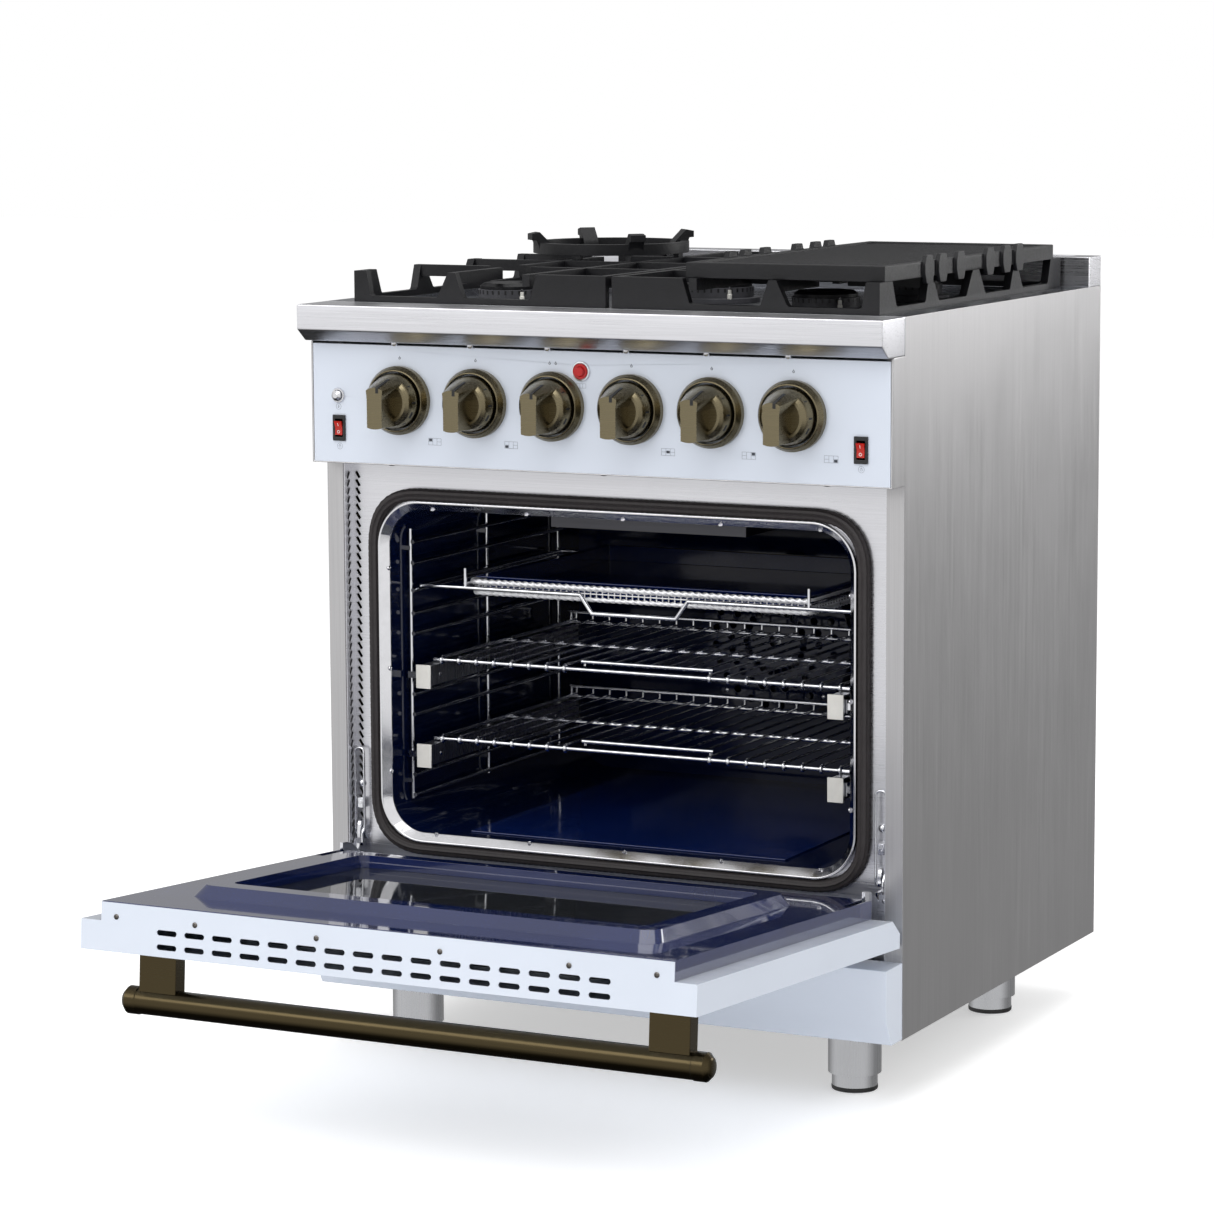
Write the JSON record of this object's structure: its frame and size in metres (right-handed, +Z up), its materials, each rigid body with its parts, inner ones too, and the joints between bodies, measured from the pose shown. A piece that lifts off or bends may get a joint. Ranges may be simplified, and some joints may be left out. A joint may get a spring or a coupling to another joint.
{
  "type": "freestanding gas range",
  "caption": "Freestanding gas range with cast iron grates, griddle and wok ring, a row of control knobs, and a drop-down oven door shown open over adjustable feet.",
  "frame": {"origin": "On the floor, under the middle of the bounding box of the range with its door open.", "axes": "+X right as seen from the front, +Y toward the back wall, +Z up. The oven door faces -Y."},
  "size_m": [0.757, 1.1914, 0.982],
  "materials": {
    "brushed_side": "vertical brushed stainless sheet",
    "brushed_front": "horizontally brushed stainless sheet",
    "polished_trim": "polished stainless",
    "white_enamel": "gloss white",
    "blue_enamel": "gloss dark blue enamel",
    "galvanised": "galvanised sheet",
    "tray_steel": "satin steel cooktop",
    "cast_iron": "matt black enamelled cast iron",
    "antique_brass": "brushed antique brass",
    "valve_brass": "machined brass",
    "rope": "braided black glass fibre rope",
    "wool": "mineral wool",
    "chrome_wire": "chromed wire",
    "aluminium_cast": "cast aluminium",
    "steel_tube": "satin stainless tube",
    "motor_grey": "black and grey motor case",
    "black_plastic": "black moulding",
    "red_plastic": "translucent red",
    "lens_red": "clear red lens",
    "door_glass": "heat resistant glass"
  },
  "bodies": {
    "range_body": {"side_panel_left": "brushed_side", "side_panel_right": "brushed_side", "back_panel": "galvanised", "base_pan": "galvanised", "front_frame": "brushed_front", "bullnose": "brushed_front", "console_box": "brushed_side", "control_panel": "white_enamel", "cooktop_tray": "tray_steel", "vent_riser": "brushed_front", "kick_panel": "white_enamel", "oven_liner": "blue_enamel", "insulation_wrap": "wool", "door_gasket": "rope", "opening_trim": "polished_trim", "oven_floor_plate": "blue_enamel", "fan_cover": "blue_enamel", "fan_motor": "motor_grey", "oven_burners": "steel_tube", "rack_guides": "chrome_wire", "gas_manifold": "galvanised", "gas_valves": "valve_brass", "power_inlet": "black_plastic", "burner_bases": "aluminium_cast", "burner_caps": "cast_iron", "knob_bezels": "antique_brass", "indicator_lamp": "lens_red", "switch_frames": "black_plastic", "hinge_arms": "chrome_wire", "leg_collars": "steel_tube"},
    "door": {"door_skin": "white_enamel", "door_inner": "blue_enamel", "door_glass": "door_glass", "handle_bar": "antique_brass", "handle_posts": "antique_brass"},
    "fan": {"convection_fan": "steel_tube"},
    "lower_shelf": {"lower_rack": "chrome_wire", "lower_runners": "steel_tube"},
    "upper_shelf": {"upper_rack": "chrome_wire", "upper_runners": "steel_tube"},
    "basket": {"basket_frame": "chrome_wire", "fry_basket": "steel_tube", "fry_tray": "blue_enamel"},
    "left_grate": {"grate_left": "cast_iron"},
    "right_grate": {"grate_right": "cast_iron"},
    "griddle_plate": {"griddle": "cast_iron"},
    "wok_support": {"wok_ring": "cast_iron"},
    "left_rocker": {"rocker_left": "red_plastic"},
    "right_rocker": {"rocker_right": "red_plastic"},
    "start_button": {"push_button": "polished_trim"},
    "front_left_foot": {"foot_front_left": "steel_tube"},
    "front_right_foot": {"foot_front_right": "steel_tube"},
    "back_left_foot": {"foot_back_left": "steel_tube"},
    "back_right_foot": {"foot_back_right": "steel_tube"},
    "knob_body_1": {"knob_1": "antique_brass"},
    "knob_body_2": {"knob_2": "antique_brass"},
    "knob_body_3": {"knob_3": "antique_brass"},
    "knob_body_4": {"knob_4": "antique_brass"},
    "knob_body_5": {"knob_5": "antique_brass"},
    "knob_body_6": {"knob_6": "antique_brass"}
  },
  "joints": [
    {"name": "door_hinge", "type": "hinge", "parent": "range_body", "child": "door", "pos_m": [0, -0.08234, 0.2054], "axis": [-1, 0, 0], "range_deg": [0, 86]},
    {"name": "knob_1_turn", "type": "hinge", "parent": "range_body", "child": "knob_body_1", "pos_m": [-0.25625, -0.10634, 0.8], "axis": [0, -1, 0], "range_deg": [0, 210]},
    {"name": "knob_2_turn", "type": "hinge", "parent": "range_body", "child": "knob_body_2", "pos_m": [-0.15375, -0.10634, 0.8], "axis": [0, -1, 0], "range_deg": [0, 210]},
    {"name": "knob_3_turn", "type": "hinge", "parent": "range_body", "child": "knob_body_3", "pos_m": [-0.05125, -0.10634, 0.8], "axis": [0, -1, 0], "range_deg": [0, 280]},
    {"name": "knob_4_turn", "type": "hinge", "parent": "range_body", "child": "knob_body_4", "pos_m": [0.05125, -0.10634, 0.8], "axis": [0, -1, 0], "range_deg": [0, 210]},
    {"name": "knob_5_turn", "type": "hinge", "parent": "range_body", "child": "knob_body_5", "pos_m": [0.15375, -0.10634, 0.8], "axis": [0, -1, 0], "range_deg": [0, 210]},
    {"name": "knob_6_turn", "type": "hinge", "parent": "range_body", "child": "knob_body_6", "pos_m": [0.25625, -0.10634, 0.8], "axis": [0, -1, 0], "range_deg": [0, 210]},
    {"name": "fan_spin", "type": "hinge", "parent": "range_body", "child": "fan", "pos_m": [0, 0.45366, 0.457], "axis": [0, 1, 0], "continuous": true},
    {"name": "lower_shelf_slide", "type": "slide", "parent": "range_body", "child": "lower_shelf", "axis": [0, 1, 0], "range_m": [-0.3, 0]},
    {"name": "upper_shelf_slide", "type": "slide", "parent": "range_body", "child": "upper_shelf", "axis": [0, 1, 0], "range_m": [-0.3, 0]},
    {"name": "basket_slide", "type": "slide", "parent": "range_body", "child": "basket", "axis": [0, 1, 0], "range_m": [-0.3, 0]},
    {"name": "left_grate_lift", "type": "slide", "parent": "range_body", "child": "left_grate", "axis": [0, 0, 1], "range_m": [0, 0.06]},
    {"name": "right_grate_lift", "type": "slide", "parent": "range_body", "child": "right_grate", "axis": [0, 0, 1], "range_m": [0, 0.06]},
    {"name": "griddle_lift", "type": "slide", "parent": "right_grate", "child": "griddle_plate", "axis": [0, 0, 1], "range_m": [0, 0.08]},
    {"name": "wok_ring_lift", "type": "slide", "parent": "left_grate", "child": "wok_support", "axis": [0, 0, 1], "range_m": [0, 0.08]},
    {"name": "left_rocker_tilt", "type": "hinge", "parent": "range_body", "child": "left_rocker", "pos_m": [-0.34, -0.07634, 0.764], "axis": [-1, 0, 0], "range_deg": [0, 14]},
    {"name": "right_rocker_tilt", "type": "hinge", "parent": "range_body", "child": "right_rocker", "pos_m": [0.34, -0.07634, 0.764], "axis": [-1, 0, 0], "range_deg": [0, 14]},
    {"name": "start_button_press", "type": "slide", "parent": "range_body", "child": "start_button", "axis": [0, 1, 0], "range_m": [0, 0.002], "stiffness_N_per_m": 600},
    {"name": "front_left_foot_level", "type": "slide", "parent": "range_body", "child": "front_left_foot", "axis": [0, 0, -1], "range_m": [0, 0.02]},
    {"name": "front_right_foot_level", "type": "slide", "parent": "range_body", "child": "front_right_foot", "axis": [0, 0, -1], "range_m": [0, 0.02]},
    {"name": "back_left_foot_level", "type": "slide", "parent": "range_body", "child": "back_left_foot", "axis": [0, 0, -1], "range_m": [0, 0.02]},
    {"name": "back_right_foot_level", "type": "slide", "parent": "range_body", "child": "back_right_foot", "axis": [0, 0, -1], "range_m": [0, 0.02]}
  ]
}
